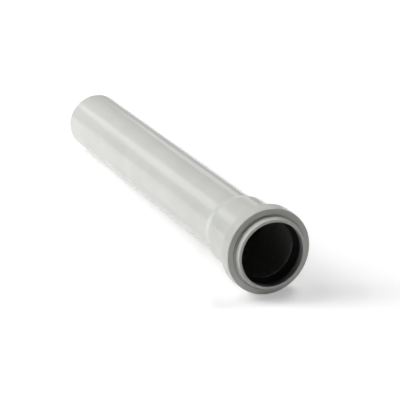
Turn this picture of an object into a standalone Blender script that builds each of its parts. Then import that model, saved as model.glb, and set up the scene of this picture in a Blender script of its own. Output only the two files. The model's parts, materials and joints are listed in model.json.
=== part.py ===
# Push-fit sewer pipe: a plain polypropylene barrel with a formed socket at its +X end, and the
# rubber lip seal that sits in the socket's bead chamber.
# The pipe lies on the floor as it comes to rest, on the crown of its bead and on its spigot end.
# Metres, +Z up. The origin is on the floor, under the middle of the pipe.

import math

import bpy
from mathutils import Vector

MM = 0.001

# Barrel
PIPE_DIAMETER = 40.0 * MM       # outside, and the size of the pipe that the socket takes
PIPE_WALL = 1.8 * MM
BARREL_LENGTH = 241.2 * MM      # from the spigot end to the foot of the socket's taper
SPIGOT_BREAK = 0.4 * MM         # broken outer edge of the cut end
BORE_BREAK = 0.2 * MM           # broken inner edge of the cut end

# Socket, along the axis from the mouth inwards
COLLAR_LENGTH = 4.8 * MM        # the rim that stands in front of the bead
BEAD_LENGTH = 12.6 * MM         # from the bead's flat front to the foot of its rear slope
BEAD_SLOPE_LENGTH = 3.5 * MM    # the share of the bead that its rear slope takes
SLEEVE_LENGTH = 26.5 * MM       # the straight part that guides the inserted pipe
TAPER_LENGTH = 7.8 * MM         # from the sleeve down to the barrel
GROOVE_DEPTH = 0.6 * MM         # of the fine groove in the bead's front, round the collar

# Socket, across the axis
MOUTH_CLEARANCE = 0.2 * MM      # radial room round an inserted pipe, in the collar
SLEEVE_CLEARANCE = 0.5 * MM     # the same in the sleeve
SLEEVE_WALL = 2.2 * MM
COLLAR_WALL = 1.65 * MM         # at the mouth
COLLAR_DRAFT = 0.5 * MM         # how much wider the collar is at its root
BEAD_HEIGHT = 4.8 * MM          # the bead's crown above the sleeve
BEAD_DRAFT = 0.4 * MM           # how much lower the crown is at the bead's front
BEAD_WALL = 1.8 * MM
GROOVE_GAP = 0.85 * MM          # from the collar's root to the groove
GROOVE_WIDTH = 0.3 * MM
GROOVE_SLANT = 0.05 * MM        # how far each side of the groove leans in

# Rounded corners of the socket
RIM_ROUND = 0.5 * MM
MOUTH_ROUND = 0.25 * MM
COLLAR_COVE = 0.15 * MM
CHAMBER_LIP_ROUND = 2.2 * MM
BEAD_FRONT_ROUND = 0.45 * MM
BEAD_REAR_ROUND = 2.0 * MM
BEAD_FOOT_ROUND = 1.2 * MM
CHAMBER_ROUND = 0.8 * MM
TAPER_ROUND = 12.0 * MM
TAPER_FOOT_ROUND = 4.0 * MM

# Lip seal
SEAL_FIT = 0.3 * MM             # clearance between the seal and the walls of its chamber
HEEL_HEIGHT = 3.3 * MM          # radial thickness of the heel behind the bead's front
HEEL_BACK_HEIGHT = 2.6 * MM     # how far the heel follows the chamber's rear slope
HEEL_ROUND = 0.6 * MM
LIP_SQUEEZE = 1.8 * MM          # how far the lip's tip stands inside an inserted pipe's surface
LIP_LEAN = 3.1 * MM             # how far the lip's tip lies behind the heel's front
LIP_ROOT = 2.1 * MM             # thickness of the lip where it leaves the heel
LIP_TIP = 0.9 * MM              # thickness at its tip

# Smoothness of the turned shapes
TURN_STEPS = 64                 # sides of every circle
ARC_STEP = math.radians(23.0)   # the largest turn between two points of a rounded corner
SHORTEST_EDGE = 0.02 * MM       # a smaller fillet is left as a plain corner

# Finish
PIPE_COLOUR = (0.60, 0.605, 0.575, 1.0)
SEAL_COLOUR = (0.012, 0.012, 0.012, 1.0)

# Radii and depths that follow from the sizes above. A depth is measured from the mouth.
PIPE_RADIUS = PIPE_DIAMETER / 2
BORE_RADIUS = PIPE_RADIUS - PIPE_WALL
MOUTH_BORE = PIPE_RADIUS + MOUTH_CLEARANCE
SLEEVE_BORE = PIPE_RADIUS + SLEEVE_CLEARANCE
SLEEVE_RADIUS = SLEEVE_BORE + SLEEVE_WALL
COLLAR_RADIUS = MOUTH_BORE + COLLAR_WALL
ROOT_RADIUS = COLLAR_RADIUS + COLLAR_DRAFT
GROOVE_INSIDE = ROOT_RADIUS + GROOVE_GAP
GROOVE_OUTSIDE = GROOVE_INSIDE + GROOVE_WIDTH
CROWN_RADIUS = SLEEVE_RADIUS + BEAD_HEIGHT
CHAMBER_RADIUS = CROWN_RADIUS - BEAD_WALL
CHAMBER_FRONT = COLLAR_LENGTH + BEAD_WALL
BEAD_END = COLLAR_LENGTH + BEAD_LENGTH
CROWN_END = BEAD_END - BEAD_SLOPE_LENGTH
SLEEVE_END = BEAD_END + SLEEVE_LENGTH
SOCKET_LENGTH = SLEEVE_END + TAPER_LENGTH
TOTAL_LENGTH = SOCKET_LENGTH + BARREL_LENGTH


def wall_shift(wall, rise, run):
    # How far a corner of the inner wall lies ahead of the outer corner, where the wall bends
    # from straight along the axis to a slope of rise over run
    return wall * math.tan(math.atan2(rise, run) / 2)


BEAD_SHIFT = wall_shift(BEAD_WALL, BEAD_HEIGHT, BEAD_SLOPE_LENGTH)
TAPER_SHIFT = wall_shift(SLEEVE_WALL, SLEEVE_RADIUS - PIPE_RADIUS, TAPER_LENGTH)


def rounded(corners):
    # Turn the (depth, radius, fillet) corners of a closed outline into points, with an arc at
    # each filleted corner. Two fillets that meet on a short side share it.
    count = len(corners)
    places = [Vector(corner[:2]) for corner in corners]
    turns = []
    wanted = []
    for index, place in enumerate(places):
        back = places[index - 1] - place
        ahead = places[(index + 1) % count] - place
        turn = math.pi - back.angle(ahead)
        turns.append(turn)
        wanted.append(corners[index][2] * math.tan(turn / 2))
    points = []
    for index, place in enumerate(places):
        reach = wanted[index]
        for other in (index - 1, (index + 1) % count):
            side = (places[other] - place).length
            reach = min(reach, side * wanted[index] / max(wanted[index] + wanted[other], side))
        if reach < SHORTEST_EDGE:
            points.append(place)
            continue
        back = (places[index - 1] - place).normalized()
        ahead = (places[(index + 1) % count] - place).normalized()
        turn = turns[index]
        radius = reach / math.tan(turn / 2)
        centre = place + (back + ahead).normalized() * (radius / math.cos(turn / 2))
        start = place + back * reach - centre
        end = place + ahead * reach - centre
        pieces = math.ceil(turn / ARC_STEP)
        for piece in range(pieces + 1):
            share = piece / pieces
            spoke = start * math.sin((1 - share) * turn) + end * math.sin(share * turn)
            points.append(centre + spoke / math.sin(turn))
    return points


def pipe_outline():
    # The section of barrel and socket: the outer side from the mouth to the spigot end, then
    # the bore back to the mouth
    groove_floor = COLLAR_LENGTH + GROOVE_DEPTH
    return rounded([
        (0.0, COLLAR_RADIUS, RIM_ROUND),
        (COLLAR_LENGTH, ROOT_RADIUS, COLLAR_COVE),
        (COLLAR_LENGTH, GROOVE_INSIDE, 0.0),
        (groove_floor, GROOVE_INSIDE + GROOVE_SLANT, 0.0),
        (groove_floor, GROOVE_OUTSIDE - GROOVE_SLANT, 0.0),
        (COLLAR_LENGTH, GROOVE_OUTSIDE, 0.0),
        (COLLAR_LENGTH, CROWN_RADIUS - BEAD_DRAFT, BEAD_FRONT_ROUND),
        (CROWN_END, CROWN_RADIUS, BEAD_REAR_ROUND),
        (BEAD_END, SLEEVE_RADIUS, BEAD_FOOT_ROUND),
        (SLEEVE_END, SLEEVE_RADIUS, TAPER_ROUND),
        (SOCKET_LENGTH, PIPE_RADIUS, TAPER_FOOT_ROUND),
        (TOTAL_LENGTH - SPIGOT_BREAK, PIPE_RADIUS, 0.0),
        (TOTAL_LENGTH, PIPE_RADIUS - SPIGOT_BREAK, 0.0),
        (TOTAL_LENGTH, BORE_RADIUS + BORE_BREAK, 0.0),
        (TOTAL_LENGTH - BORE_BREAK, BORE_RADIUS, 0.0),
        (SOCKET_LENGTH + TAPER_SHIFT, BORE_RADIUS, TAPER_FOOT_ROUND),
        (SLEEVE_END + TAPER_SHIFT, SLEEVE_BORE, TAPER_ROUND),
        (BEAD_END - BEAD_SHIFT, SLEEVE_BORE, CHAMBER_ROUND),
        (CROWN_END - BEAD_SHIFT, CHAMBER_RADIUS, CHAMBER_ROUND),
        (CHAMBER_FRONT, CHAMBER_RADIUS, CHAMBER_ROUND),
        (CHAMBER_FRONT, MOUTH_BORE, CHAMBER_LIP_ROUND),
        (0.0, MOUTH_BORE, MOUTH_ROUND),
    ])


def seal_outline():
    # The section of the lip seal: a heel that fills the chamber behind the bead's front, and a
    # lip that leans inwards and away from the mouth
    slope_drop = CHAMBER_RADIUS - SLEEVE_BORE
    front = CHAMBER_FRONT + SEAL_FIT
    top = CHAMBER_RADIUS - SEAL_FIT
    bottom = top - HEEL_HEIGHT
    rear_top = CROWN_END - BEAD_SHIFT - wall_shift(SEAL_FIT, slope_drop, BEAD_SLOPE_LENGTH)
    rear_low = rear_top + HEEL_BACK_HEIGHT * BEAD_SLOPE_LENGTH / slope_drop
    tip = front + LIP_LEAN
    tip_radius = PIPE_RADIUS - LIP_SQUEEZE
    return rounded([
        (front, top, HEEL_ROUND),
        (rear_top, top, HEEL_ROUND),
        (rear_low, top - HEEL_BACK_HEIGHT, HEEL_ROUND),
        (rear_low, bottom, HEEL_ROUND),
        (front + LIP_ROOT, bottom, HEEL_ROUND),
        (tip + LIP_TIP, tip_radius, LIP_TIP / 3),
        (tip, tip_radius, LIP_TIP / 3),
        (front, bottom, HEEL_ROUND),
    ])


def rest_on_floor(outline):
    # The angle at which the pipe lies, and where its spigot end's centre then is: its lower
    # edge is the corner that it rocks on until the bead touches the floor
    across_flats = math.cos(math.pi / TURN_STEPS)
    corner = TOTAL_LENGTH - SPIGOT_BREAK
    tilt = max(
        math.atan2((radius - PIPE_RADIUS) * across_flats, corner - depth)
        for depth, radius in outline
        if depth < SOCKET_LENGTH
    )
    along = []
    lowest = []
    for depth, radius in outline:
        height = TOTAL_LENGTH - depth
        side = radius * across_flats
        along.append(height * math.cos(tilt) + side * math.sin(tilt))
        along.append(height * math.cos(tilt) - side * math.sin(tilt))
        lowest.append(height * math.sin(tilt) - side * math.cos(tilt))
    return tilt, (-(min(along) + max(along)) / 2, 0.0, -min(lowest))


def plastic(name, colour, roughness):
    material = bpy.data.materials.new(name)
    material.use_nodes = True
    shader = material.node_tree.nodes["Principled BSDF"]
    shader.inputs["Base Color"].default_value = colour
    shader.inputs["Roughness"].default_value = roughness
    shader.inputs["Metallic"].default_value = 0.0
    material.diffuse_color = colour
    return material


def turned(name, outline, material, axis, parts):
    # A closed section at +X, turned round the axis. Half a step of turn puts the middle of a
    # side, and not a corner, against the floor.
    mesh = bpy.data.meshes.new(name)
    points = [(radius, 0.0, TOTAL_LENGTH - depth) for depth, radius in outline]
    edges = [(index, (index + 1) % len(points)) for index in range(len(points))]
    mesh.from_pydata(points, edges, [])
    mesh.materials.append(material)
    piece = bpy.data.objects.new(name, mesh)
    parts.objects.link(piece)
    piece.parent = axis
    piece.rotation_euler.z = math.pi / TURN_STEPS
    screw = piece.modifiers.new("turn", "SCREW")
    screw.axis = "Z"
    screw.angle = 2 * math.pi
    screw.steps = TURN_STEPS
    screw.render_steps = TURN_STEPS
    screw.use_merge_vertices = True
    screw.merge_threshold = 0.01 * MM
    screw.use_smooth_shade = True
    shading = piece.modifiers.new("even shading", "WEIGHTED_NORMAL")
    shading.keep_sharp = True
    return piece


def build():
    for old in list(bpy.data.objects):
        bpy.data.objects.remove(old, do_unlink=True)
    parts = bpy.data.collections.new("sewer_pipe")
    bpy.context.scene.collection.children.link(parts)
    outline = pipe_outline()
    tilt, spigot_centre = rest_on_floor(outline)
    axis = bpy.data.objects.new("pipe_axis", None)
    axis.empty_display_size = PIPE_DIAMETER
    axis.location = spigot_centre
    axis.rotation_euler.y = math.pi / 2 - tilt
    parts.objects.link(axis)
    turned("pipe", outline, plastic("grey_polypropylene", PIPE_COLOUR, 0.38), axis, parts)
    turned("lip_seal", seal_outline(), plastic("black_rubber", SEAL_COLOUR, 0.55), axis, parts)


build()
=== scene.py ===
# Looks of a short grey drain pipe with a push-fit socket and a black lip seal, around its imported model.
import json
import math
import bpy
import numpy as np
from mathutils import Matrix, Vector


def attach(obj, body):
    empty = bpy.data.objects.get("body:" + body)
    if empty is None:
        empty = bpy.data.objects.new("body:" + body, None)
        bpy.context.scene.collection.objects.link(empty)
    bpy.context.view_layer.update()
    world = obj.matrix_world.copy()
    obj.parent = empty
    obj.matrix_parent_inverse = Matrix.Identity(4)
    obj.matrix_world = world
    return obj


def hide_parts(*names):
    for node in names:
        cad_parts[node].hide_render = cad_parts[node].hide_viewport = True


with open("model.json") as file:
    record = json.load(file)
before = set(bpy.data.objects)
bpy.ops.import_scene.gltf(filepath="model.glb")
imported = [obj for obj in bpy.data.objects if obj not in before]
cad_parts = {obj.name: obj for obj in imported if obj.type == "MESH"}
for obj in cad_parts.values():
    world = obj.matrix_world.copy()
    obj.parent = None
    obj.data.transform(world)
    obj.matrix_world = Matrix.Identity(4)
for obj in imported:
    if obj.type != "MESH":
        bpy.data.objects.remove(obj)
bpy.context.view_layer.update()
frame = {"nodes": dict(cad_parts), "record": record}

mm = 0.001
scene = bpy.context.scene


# One output of a node tree. Sums on it add Math nodes, and its node method adds any other node.
class Wire:
    def __init__(self, tree, socket=None):
        self.tree = tree
        self.socket = socket

    def node(self, kind, settings=None, inputs=None, output=0):
        made = self.tree.nodes.new(kind)
        for name, value in (settings or {}).items():
            setattr(made, name, value)
        for name, value in (inputs or {}).items():
            if isinstance(value, Wire):
                self.tree.links.new(value.socket, made.inputs[name])
            else:
                made.inputs[name].default_value = value
        return Wire(self.tree, made.outputs[output] if len(made.outputs) else None)

    # another output of the same node
    def out(self, name):
        return Wire(self.tree, self.socket.node.outputs[name])

    def maths(self, operation, first, second):
        return self.node("ShaderNodeMath", {"operation": operation}, {0: first, 1: second})

    def __add__(self, other):
        return self.maths("ADD", self, other)

    def __radd__(self, other):
        return self.maths("ADD", other, self)

    def __sub__(self, other):
        return self.maths("SUBTRACT", self, other)

    def __rsub__(self, other):
        return self.maths("SUBTRACT", other, self)

    def __mul__(self, other):
        return self.maths("MULTIPLY", self, other)

    def __rmul__(self, other):
        return self.maths("MULTIPLY", other, self)

    # 0 below low, 1 above high, smooth between
    def rise(self, low, high):
        return self.node(
            "ShaderNodeMapRange",
            {"interpolation_type": "SMOOTHSTEP"},
            {"Value": self, "From Min": low, "From Max": high},
        )


def newMaterial(name):
    material = bpy.data.materials.new(name)
    material.use_nodes = True
    material.node_tree.nodes.clear()
    return material, Wire(material.node_tree)


# Mixes two colours, which are wires or plain red, green and blue. A Mix node's colours are its
# inputs 6 and 7 and its output 2.
def mixColours(wire, factor, first, second):
    inputs = {0: factor}
    for socket, colour in ((6, first), (7, second)):
        inputs[socket] = colour if isinstance(colour, Wire) else (*colour, 1.0)
    return wire.node("ShaderNodeMix", {"data_type": "RGBA"}, inputs, 2)


# A noise texture. A stretch below 1 draws it out along x, y or z.
def pattern(wire, place, scale, detail, roughness=0.5, stretch=None):
    if stretch:
        place = wire.node("ShaderNodeVectorMath", {"operation": "MULTIPLY"}, {0: place, 1: stretch})
    values = {"Vector": place, "Scale": scale, "Detail": detail, "Roughness": roughness}
    return wire.node("ShaderNodeTexNoise", {}, values)


# Where the pipe lies: its two ends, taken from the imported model
def pipeEnds():
    cadPipe = frame["nodes"]["pipe"]
    corners = np.unique(np.round([v.co[:] for v in cadPipe.data.vertices], 7), axis=0)
    mounts = {m["name"]: m for m in frame["record"]["mounts"]}
    axis = np.array(mounts["mouth_rim"]["axis"])
    along = corners @ axis
    flat = 0.01 * mm  # corners this close together along the axis are on one flat end
    mouth = Vector(corners[along > along.max() - flat].mean(axis=0))
    spigot = Vector(corners[along < along.min() + flat].mean(axis=0))
    return mouth, spigot


mouth, spigot = pipeEnds()
pipeAxis = (mouth - spigot).normalized()
tilt = math.asin(pipeAxis.z)
pipeUp = Vector((-math.sin(tilt), 0, math.cos(tilt)))
print("pipe lies from", tuple(round(c, 4) for c in spigot), "to", tuple(round(c, 4) for c in mouth))

# A turned piece is made with its mouth at the origin, facing +Z. Then its +X goes up, and its +Y to -Y.
turnedPlace = Matrix.Translation(mouth) @ Matrix(
    (
        (pipeUp.x, 0, pipeAxis.x, 0),
        (0, -1, 0, 0),
        (pipeUp.z, 0, pipeAxis.z, 0),
        (0, 0, 0, 1),
    )
)


plasticLook = {
    "light": (0.62, 0.625, 0.592),
    "dark": (0.585, 0.59, 0.558),
    "darkTo": 0.3,  # below this the mottling is all dark, and above the next all light
    "lightFrom": 0.7,
    # painted shade: the bore is the same plastic as the outside, and this darker colour stands in for the
    # shade deep inside it
    "bore": (0.250, 0.250, 0.242),
    "sawn": (0.67, 0.675, 0.655),
    "roughness": 0.17,
    "dullSpread": 0.08,
    "lineSpread": 0.03,
    "boreRoughness": 0.42,
    "sawnRoughness": 0.6,
    "waveHeight": 1.6,
    "lineHeight": 0.05,
    "peelHeight": 0.10,
    "teethHeight": 1.2,
    "bumpStrength": 0.35,
    "bumpDistance": 0.15 * mm,
    "refraction": 1.49,
    "sawnFrom": 292.6 * mm,  # depths between which the cut end begins
    "sawnTo": 292.7 * mm,
    "mottle": {"scale": 38.0, "detail": 3.0, "roughness": 0.6},
    "dull": {"scale": 90.0, "detail": 4.0, "roughness": 0.65},
    "waves": {"scale": 55.0, "detail": 1.0, "stretch": (0.7, 1.0, 1.0)},
    "peel": {"scale": 700.0, "detail": 2.0},
    "lines": {"scale": 620.0, "detail": 2.0, "stretch": (0.012, 1.0, 1.0)},
    "teeth": {"scale": 2400.0, "detail": 3.0, "roughness": 0.7, "stretch": (1.0, 0.05, 1.0)},
}


def greyPlastic():
    look = plasticLook
    material, start = newMaterial("grey polypropylene")
    place = start.node("ShaderNodeTexCoord", output="Object")
    # turned so that x runs along the pipe and y and z run across it, from the middle of the mouth
    inPipe = start.node(
        "ShaderNodeMapping",
        {"vector_type": "TEXTURE"},
        {"Vector": place, "Location": mouth, "Rotation": (0, -tilt, 0)},
    )
    depth = 0.0 - start.node("ShaderNodeSeparateXYZ", {}, {"Vector": inPipe})
    # the bore attribute marks where the bore's shade is painted and where the plastic is rougher
    boreShadeAndRoughMask = start.node("ShaderNodeAttribute", {"attribute_name": "bore"}, output="Fac")
    sawn = depth.rise(look["sawnFrom"], look["sawnTo"])
    mottle = pattern(start, inPipe, **look["mottle"])
    dull = pattern(start, inPipe, **look["dull"])
    waves = pattern(start, inPipe, **look["waves"])
    peel = pattern(start, inPipe, **look["peel"])
    lines = pattern(start, inPipe, **look["lines"])
    teeth = pattern(start, inPipe, **look["teeth"])
    lightShare = mottle.rise(look["darkTo"], look["lightFrom"])
    colour = mixColours(start, lightShare, look["dark"], look["light"])
    # painted shade in the bore, fading out from the neck towards the rim
    colour = mixColours(start, boreShadeAndRoughMask, colour, look["bore"])
    colour = mixColours(start, sawn, colour, look["sawn"])
    roughness = look["roughness"] + look["dullSpread"] * (dull - 0.5) + look["lineSpread"] * (lines - 0.5)
    roughness = roughness + boreShadeAndRoughMask * (look["boreRoughness"] - look["roughness"])
    roughness = roughness + sawn * (look["sawnRoughness"] - look["roughness"])
    height = look["waveHeight"] * waves + look["lineHeight"] * lines + look["peelHeight"] * peel
    height = height + look["teethHeight"] * sawn * teeth
    bump = start.node(
        "ShaderNodeBump",
        {},
        {"Height": height, "Strength": look["bumpStrength"], "Distance": look["bumpDistance"]},
    )
    shader = start.node(
        "ShaderNodeBsdfPrincipled",
        {},
        {"Base Color": colour, "Roughness": roughness, "Normal": bump, "IOR": look["refraction"]},
    )
    start.node("ShaderNodeOutputMaterial", {}, {"Surface": shader})
    return material


rubberLook = {
    "black": (0.005, 0.005, 0.0052),
    "bloomed": (0.011, 0.011, 0.0108),
    "blackTo": 0.35,  # below this the rubber is all black, and above the next it has all its bloom
    "bloomedFrom": 0.75,
    "roughness": 0.7,
    "bloomSpread": 0.15,
    "gloss": 0.1,
    "bumpStrength": 0.3,
    "bumpDistance": 0.05 * mm,
    "bloom": {"scale": 160.0, "detail": 4.0, "roughness": 0.7},
    "grain": {"scale": 1500.0, "detail": 1.0},
}


def blackRubber():
    look = rubberLook
    material, start = newMaterial("black seal rubber")
    place = start.node("ShaderNodeTexCoord", output="Object")
    bloom = pattern(start, place, **look["bloom"])
    grain = pattern(start, place, **look["grain"])
    bloomShare = bloom.rise(look["blackTo"], look["bloomedFrom"])
    colour = mixColours(start, bloomShare, look["black"], look["bloomed"])
    roughness = look["roughness"] + look["bloomSpread"] * (bloom - 0.5)
    bump = start.node(
        "ShaderNodeBump",
        {},
        {"Height": grain, "Strength": look["bumpStrength"], "Distance": look["bumpDistance"]},
    )
    shader = start.node(
        "ShaderNodeBsdfPrincipled",
        {},
        {"Base Color": colour, "Roughness": roughness, "Normal": bump, "Specular IOR Level": look["gloss"]},
    )
    start.node("ShaderNodeOutputMaterial", {}, {"Surface": shader})
    return material


turning = {
    "sides": 256,
    "arcSteps": 12,
    "middle": 20 * mm,  # radius of the ring that carries the outline round
    "weld": 0.004 * mm,
    "sharpAngle": 30.0,  # degrees
    "cadSides": 64,
}

# The CAD circles have straight sides, so a true circle is this much smaller to stay inside them
flatRatio = math.cos(math.pi / turning["cadSides"])


# Geometry nodes that round the corners of an outline and turn it round the Z axis
def turningTree():
    tree = bpy.data.node_groups.new("turned piece", "GeometryNodeTree")
    face = tree.interface
    face.new_socket("Outline", in_out="INPUT", socket_type="NodeSocketGeometry")
    for name, kind in (
        ("Sides", "NodeSocketInt"),
        ("Arc steps", "NodeSocketInt"),
        ("Middle radius", "NodeSocketFloat"),
        ("Weld distance", "NodeSocketFloat"),
        ("Sharp angle", "NodeSocketFloat"),
        ("Finish", "NodeSocketMaterial"),
    ):
        face.new_socket(name, in_out="INPUT", socket_type=kind)
    face.new_socket("Piece", in_out="OUTPUT", socket_type="NodeSocketGeometry")
    start = Wire(tree)
    given = start.node("NodeGroupInput")
    radius = start.node("GeometryNodeInputNamedAttribute", {"data_type": "FLOAT"}, {"Name": "fillet"})
    outline = start.node("GeometryNodeMeshToCurve", {}, {"Mesh": given.out("Outline")})
    closed = start.node("GeometryNodeSetSplineCyclic", {}, {"Geometry": outline, "Cyclic": True})
    rounded = start.node(
        "GeometryNodeFilletCurve",
        {"mode": "POLY"},
        {"Curve": closed, "Count": given.out("Arc steps"), "Radius": radius, "Limit Radius": True},
    )
    ring = start.node(
        "GeometryNodeCurvePrimitiveCircle",
        {"mode": "RADIUS"},
        {"Resolution": given.out("Sides"), "Radius": given.out("Middle radius")},
    )
    turned = start.node("GeometryNodeCurveToMesh", {}, {"Curve": ring, "Profile Curve": rounded})
    merged = start.node(
        "GeometryNodeMergeByDistance", {}, {"Geometry": turned, "Distance": given.out("Weld distance")}
    )
    smooth = start.node(
        "GeometryNodeSetShadeSmooth", {"domain": "FACE"}, {"Geometry": merged, "Shade Smooth": True}
    )
    angle = start.node("GeometryNodeInputMeshEdgeAngle")
    sharp = start.node(
        "FunctionNodeCompare",
        {"data_type": "FLOAT", "operation": "GREATER_THAN"},
        {"A": angle, "B": given.out("Sharp angle")},
    )
    edged = start.node(
        "GeometryNodeSetShadeSmooth",
        {"domain": "EDGE"},
        {"Geometry": smooth, "Selection": sharp, "Shade Smooth": False},
    )
    real = start.node("GeometryNodeRealizeInstances", {}, {"Geometry": edged})
    finished = start.node("GeometryNodeSetMaterial", {}, {"Geometry": real, "Material": given.out("Finish")})
    start.node("NodeGroupOutput", {}, {"Piece": finished})
    return tree


# Turns an outline and puts it where the pipe lies. The fourth value of a corner says whether it is
# in the bore, where the material paints shade in a darker colour and makes the plastic rougher.
def turnedPiece(name, corners, material, tree):
    mesh = bpy.data.meshes.new(name + " outline")
    middle = turning["middle"]
    points = [(radius * mm * flatRatio - middle, depth * mm, 0) for depth, radius, fillet, bore in corners]
    mesh.from_pydata(points, [(i, (i + 1) % len(points)) for i in range(len(points))], [])
    fillets = mesh.attributes.new("fillet", "FLOAT", "POINT")
    fillets.data.foreach_set("value", [fillet * mm for depth, radius, fillet, bore in corners])
    # marks the corners where the bore's shade is painted
    boreShadeAndRoughMask = mesh.attributes.new("bore", "FLOAT", "POINT")
    boreShadeAndRoughMask.data.foreach_set("value", [float(bore) for depth, radius, fillet, bore in corners])
    outline = bpy.data.objects.new(name + " outline", mesh)
    scene.collection.objects.link(outline)
    turn = outline.modifiers.new("turning", "NODES")
    turn.node_group = tree
    values = {
        "Sides": turning["sides"],
        "Arc steps": turning["arcSteps"],
        "Middle radius": middle,
        "Weld distance": turning["weld"],
        "Sharp angle": math.radians(turning["sharpAngle"]),
        "Finish": material,
    }
    for item in tree.interface.items_tree:
        if item.name in values:
            turn[item.identifier] = values[item.name]
    even = outline.modifiers.new("even shading", "WEIGHTED_NORMAL")
    even.mode = "FACE_AREA"
    even.weight = 100  # the largest faces count most
    even.keep_sharp = True
    evaluated = outline.evaluated_get(bpy.context.evaluated_depsgraph_get())
    plain = bpy.data.meshes.new_from_object(evaluated)
    outline.modifiers.clear()
    bpy.data.objects.remove(outline)
    plain.transform(turnedPlace)
    plain.name = name
    piece = bpy.data.objects.new(name, plain)
    scene.collection.objects.link(piece)
    print(name, "has", sum(len(p.vertices) - 2 for p in plain.polygons), "triangles")
    return piece


# The corners from the rim round the outside to the spigot and back through the bore. Each has its
# depth from the mouth, its radius and its fillet in mm, and whether it is in the bore, painted darker as
# shade.
pipeSection = {
    "rim outside": (0, 21.85, 0.5, False),
    "collar foot": (4.8, 22.35, 0.15, False),
    "groove inner edge": (4.8, 23.1, 0, False),
    "groove floor inner": (5.5, 23.2, 0, False),
    "groove floor outer": (5.5, 23.5, 0, False),
    "groove outer edge": (4.8, 23.6, 0, False),
    "bead front edge": (5.05, 27.1, 0.9, False),
    "bead crown": (13.9, 27.49, 2.0, False),
    "bead back foot": (17.4, 22.7, 1.2, False),
    "sleeve end": (43.9, 22.7, 12, False),
    "barrel start": (51.7, 20, 8, False),
    "spigot chamfer": (292.5, 20, 0, False),
    "spigot face outside": (292.9, 19.6, 0, False),
    "spigot face inside": (292.9, 18.4, 0, False),
    "bore end": (292.7, 18.2, 0, True),
    "bore start": (52.07, 18.2, 4, True),
    "sleeve bore end": (44.27, 20.5, 12, True),
    "sleeve bore start": (16.485, 20.5, 0.8, True),
    "chamber back": (12.985, 25.7, 0.8, True),
    "chamber front": (6.6, 25.7, 0.8, True),
    "neck inside": (6.6, 20.2, 2.2, True),
    # the painted bore shade fades out between the neck inside and the rim
    "rim inside": (0, 20.2, 0.25, False),
}
sealSection = {
    "heel front": (6.9, 25.4, 0.6, False),
    "heel crown": (12.825, 25.4, 0.6, False),
    "heel back": (14.575, 22.8, 0.6, False),
    "heel inside": (14.575, 22.1, 0.6, False),
    "lip root back": (9.0, 22.1, 0.6, False),
    "lip edge back": (10.9, 18.2, 0.3, False),
    "lip edge front": (10.0, 18.2, 0.3, False),
    "lip root front": (6.9, 22.1, 0.6, False),
}

tree = turningTree()

pipeSkin = turnedPiece("pipe_skin", pipeSection.values(), greyPlastic(), tree)
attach(pipeSkin, "root")
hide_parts("pipe")

sealSkin = turnedPiece("lip_seal_skin", sealSection.values(), blackRubber(), tree)
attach(sealSkin, "root")
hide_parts("lip_seal")
print("turned pieces made")


white = (1.0, 1.0, 1.0)
coolWhite = (0.91, 0.95, 1.0)

# Each lamp: azimuth and elevation in degrees, width and height in metres, power in watts, colour
studio = {
    "floorSize": 8.0,
    "floorColour": (0.90, 0.90, 0.90),
    "floorLift": 0.354,  # glow of the floor round the pipe, which keeps the pipe's shadow
    "glowFrom": 0.5,  # distances over which the floor turns to plain white, then to the backdrop
    "glowTo": 0.9,
    "backdropTo": 2.2,
    "backdrop": 0.4,  # brightness of the world and of the far floor
    "lampDistance": 1.6,
    "lamps": {
        "low left": (-16.0, 11.0, 0.9, 0.5, 4.25, coolWhite),
        "middle left": (-25.0, 37.0, 0.6, 0.9, 16.1, white),
        "high left": (-30.0, 66.0, 0.6, 0.6, 4.44, white),
        "high behind right": (-170.0, 66.0, 0.6, 0.6, 9.19, white),
        "low front right": (136.0, 6.0, 1.2, 0.35, 1.5, white),
        "strip behind left": (-70.5, 23.0, 0.42, 0.38, 0.623, white),
        "strip behind": (-117.0, 15.0, 0.28, 0.28, 0.194, white),
    },
}

# mouthRight and mouthDown say how far the mouth lies from the middle of the view
camera = {
    "azimuth": 66.166,
    "elevation": 21.117,
    "distance": 1123.7 * mm,
    "mouthRight": 43.01 * mm,
    "mouthDown": 32.35 * mm,
    "lens": 171.0,  # focal length and width of the sensor, in plain millimetres
    "sensor": 36.0,
}


# 1 for rays from the camera, off glossy surfaces and through clear ones, and 0 for all others
def seenRays(wire):
    rays = wire.node("ShaderNodeLightPath")
    mirrored = wire.maths("MAXIMUM", rays.out("Is Glossy Ray"), rays.out("Is Transmission Ray"))
    return wire.maths("MAXIMUM", rays.out("Is Camera Ray"), mirrored)


def makeFloor():
    half = studio["floorSize"] / 2
    mesh = bpy.data.meshes.new("floor")
    corners = [(-half, -half, 0), (half, -half, 0), (half, half, 0), (-half, half, 0)]
    mesh.from_pydata(corners, [], [(0, 1, 2, 3)])
    floor = bpy.data.objects.new("floor", mesh)
    scene.collection.objects.link(floor)
    material, start = newMaterial("white paper floor")
    seen = seenRays(start)
    paper = start.node("ShaderNodeBsdfDiffuse", {}, {"Color": (*studio["floorColour"], 1.0)})
    glow = start.node("ShaderNodeEmission", {}, {"Strength": seen * studio["floorLift"]})
    near = start.node("ShaderNodeAddShader", {}, {0: paper, 1: glow})
    here = start.node("ShaderNodeTexCoord", output="Object")
    away = start.node("ShaderNodeVectorMath", {"operation": "LENGTH"}, {0: here}, "Value")
    greyShare = away.rise(studio["glowTo"], studio["backdropTo"])
    fading = mixColours(start, greyShare, white, (studio["backdrop"],) * 3)
    far = start.node("ShaderNodeEmission", {}, {"Color": fading})
    farShare = seen * away.rise(studio["glowFrom"], studio["glowTo"])
    mixed = start.node("ShaderNodeMixShader", {}, {0: farShare, 1: near, 2: far})
    start.node("ShaderNodeOutputMaterial", {}, {"Surface": mixed})
    mesh.materials.append(material)


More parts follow.
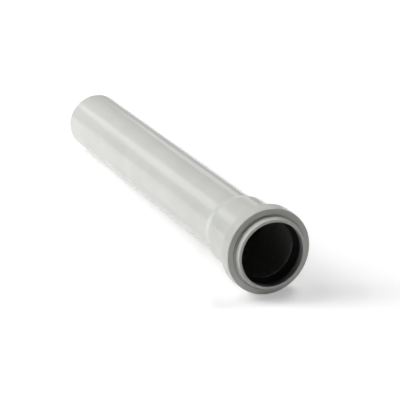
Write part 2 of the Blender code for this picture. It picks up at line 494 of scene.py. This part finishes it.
def makeWorld():
    world = bpy.data.worlds.new("studio")
    world.use_nodes = True
    world.node_tree.nodes.clear()
    start = Wire(world.node_tree)
    strength = seenRays(start) * studio["backdrop"]
    grey = start.node("ShaderNodeBackground", {}, {"Color": (*white, 1.0), "Strength": strength})
    start.node("ShaderNodeOutputWorld", {}, {"Surface": grey})
    scene.world = world


# Azimuth 0 stands in front of the pipe, at -Y, and azimuth 90 in front of its mouth, at +X
def direction(azimuth, elevation):
    a = math.radians(azimuth)
    e = math.radians(elevation)
    return Vector((math.sin(a) * math.cos(e), -math.cos(a) * math.cos(e), math.sin(e)))


def makeLamps():
    middle = (mouth + spigot) / 2
    for name, (azimuth, elevation, width, height, power, colour) in studio["lamps"].items():
        light = bpy.data.lights.new(name, "AREA")
        light.shape = "RECTANGLE"
        light.size = width
        light.size_y = height
        light.energy = power
        light.color = colour
        lamp = bpy.data.objects.new(name, light)
        back = direction(azimuth, elevation)
        lamp.location = middle + back * studio["lampDistance"]
        lamp.rotation_mode = "QUATERNION"
        lamp.rotation_quaternion = back.to_track_quat("Z", "Y")
        lamp.visible_camera = False
        scene.collection.objects.link(lamp)


# The camera looks at the mouth from the photograph's angle, with the mouth off the picture's middle
def makeCamera():
    back = direction(camera["azimuth"], camera["elevation"])
    a = math.radians(camera["azimuth"])
    right = Vector((math.cos(a), math.sin(a), 0))
    up = back.cross(right)
    data = bpy.data.cameras.new("camera")
    data.lens = camera["lens"]
    data.sensor_width = camera["sensor"]
    view = bpy.data.objects.new("camera", data)
    view.matrix_world = Matrix(
        (
            (right.x, up.x, back.x, 0),
            (right.y, up.y, back.y, 0),
            (right.z, up.z, back.z, 0),
            (0, 0, 0, 1),
        )
    )
    offMiddle = right * camera["mouthRight"] - up * camera["mouthDown"]
    view.location = mouth - offMiddle + back * camera["distance"]
    scene.collection.objects.link(view)
    bpy.context.scene.camera = view


makeFloor()
makeWorld()
makeLamps()
makeCamera()
scene.view_settings.view_transform = "Standard"
print("studio made")
